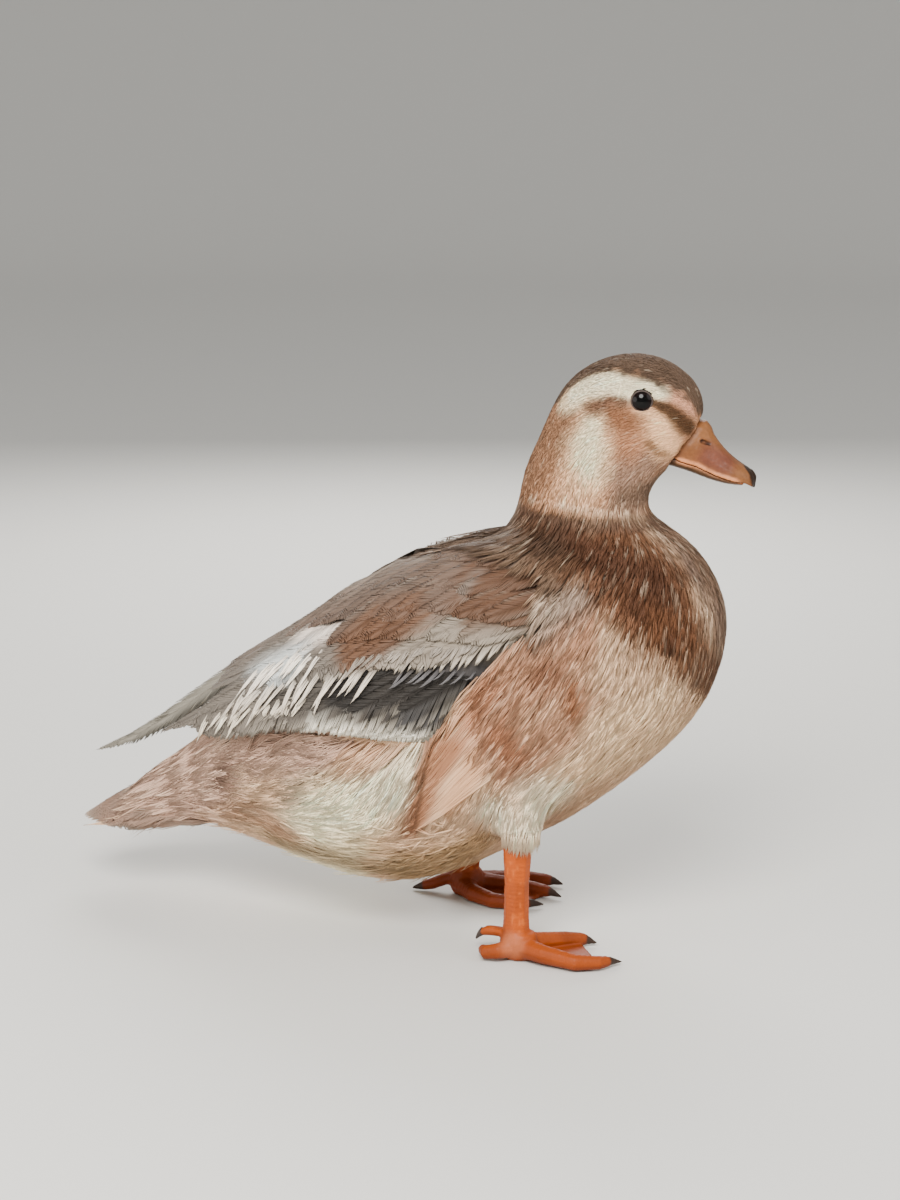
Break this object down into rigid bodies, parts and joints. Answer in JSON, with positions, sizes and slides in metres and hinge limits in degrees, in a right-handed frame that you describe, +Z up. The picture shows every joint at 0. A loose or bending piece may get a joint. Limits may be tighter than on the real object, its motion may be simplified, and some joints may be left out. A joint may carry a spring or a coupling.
{
  "type": "duck model",
  "caption": "Life-size still model of a bantam call duck standing on both webbed feet, head turned slightly left, wings folded over the back.",
  "frame": {"origin": "middle of the duck's outline, on the floor that its feet stand on", "axes": "+X the way the duck's body faces, +Y its left side, +Z up"},
  "size_m": [0.3112, 0.1292, 0.2576],
  "materials": {
    "plumage": "soft contour feathers, brown, peach and cream",
    "flight_feathers": "smooth grey and white vanes with a satin sheen",
    "bill": "orange horn with a soft gloss and a dark nail",
    "eye": "wet black-brown gloss",
    "legs": "bright orange scaled skin with brown claws"
  },
  "bodies": {
    "root": {"torso": "plumage", "neck": "plumage", "head": "plumage", "bill_upper": "bill", "bill_lower": "bill", "eye_right": "eye", "eye_left": "eye", "wing_right": "flight_feathers", "wing_left": "flight_feathers", "tail": "flight_feathers", "leg_right": "legs", "leg_left": "legs", "foot_right": "legs", "foot_left": "legs"}
  },
  "joints": []
}
